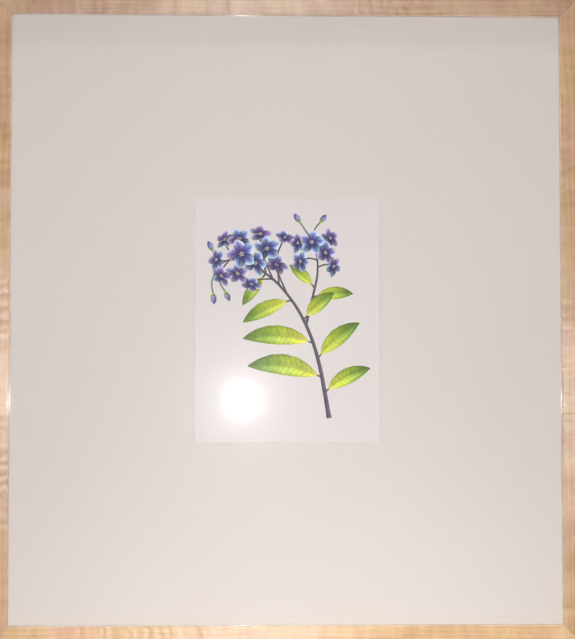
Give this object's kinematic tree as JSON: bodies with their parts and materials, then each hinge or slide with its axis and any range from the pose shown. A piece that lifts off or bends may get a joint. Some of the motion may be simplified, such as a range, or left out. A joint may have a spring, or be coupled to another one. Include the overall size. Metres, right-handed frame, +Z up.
{
  "type": "framed print",
  "caption": "Glazed picture in a square-edged pale maple frame, a small botanical print in a wide bevelled window mat, with hinged D-ring hangers on its back.",
  "frame": {"origin": "midway between the inner crowns of the two hanging rings, where the wall hooks bear", "axes": "+Z up as it hangs, +X to the right seen from the front, +Y into the wall; the picture faces -Y"},
  "size_m": [0.723, 0.0378, 0.7951],
  "materials": {
    "maple": "satin",
    "clear_glass": "polished",
    "mat_board": "matte",
    "print_paper": "matte",
    "mount_board": "matte",
    "hinge_tissue": "matte",
    "linen_tape": "matte",
    "foam_board": "matte",
    "kraft_paper": "matte",
    "spring_steel": "satin",
    "zinc_plated_steel": "satin",
    "bumper_felt": "matte"
  },
  "bodies": {
    "frame": {"frame_rail_top": "maple", "frame_rail_bottom": "maple", "frame_rail_left": "maple", "frame_rail_right": "maple", "glazing": "clear_glass", "window_mat": "mat_board", "print_sheet": "print_paper", "print_hinge_left": "hinge_tissue", "print_hinge_right": "hinge_tissue", "mat_hinge_tape": "linen_tape", "mount_board": "mount_board", "backing_board": "foam_board", "framers_point_top_1": "spring_steel", "framers_point_top_2": "spring_steel", "framers_point_top_3": "spring_steel", "framers_point_bottom_1": "spring_steel", "framers_point_bottom_2": "spring_steel", "framers_point_bottom_3": "spring_steel", "framers_point_left_1": "spring_steel", "framers_point_left_2": "spring_steel", "framers_point_left_3": "spring_steel", "framers_point_right_1": "spring_steel", "framers_point_right_2": "spring_steel", "framers_point_right_3": "spring_steel", "v_nail_top_left_outer": "spring_steel", "v_nail_top_left_inner": "spring_steel", "v_nail_top_right_outer": "spring_steel", "v_nail_top_right_inner": "spring_steel", "v_nail_bottom_left_outer": "spring_steel", "v_nail_bottom_left_inner": "spring_steel", "v_nail_bottom_right_outer": "spring_steel", "v_nail_bottom_right_inner": "spring_steel", "dust_cover": "kraft_paper", "hanger_strap_left": "zinc_plated_steel", "hanger_screw_left_upper": "zinc_plated_steel", "hanger_screw_left_lower": "zinc_plated_steel", "wall_bumper_left": "bumper_felt", "hanger_strap_right": "zinc_plated_steel", "hanger_screw_right_upper": "zinc_plated_steel", "hanger_screw_right_lower": "zinc_plated_steel", "wall_bumper_right": "bumper_felt"},
    "ring_left": {"hanger_ring_left": "zinc_plated_steel"},
    "ring_right": {"hanger_ring_right": "zinc_plated_steel"}
  },
  "joints": [
    {"name": "left_ring_hinge", "type": "hinge", "parent": "frame", "child": "ring_left", "pos_m": [-0.3509, 0, -0.01275], "axis": [-1, 0, 0], "range_deg": [-5, 175]},
    {"name": "right_ring_hinge", "type": "hinge", "parent": "frame", "child": "ring_right", "pos_m": [0.3509, 0, -0.01275], "axis": [-1, 0, 0], "range_deg": [-5, 175]}
  ]
}
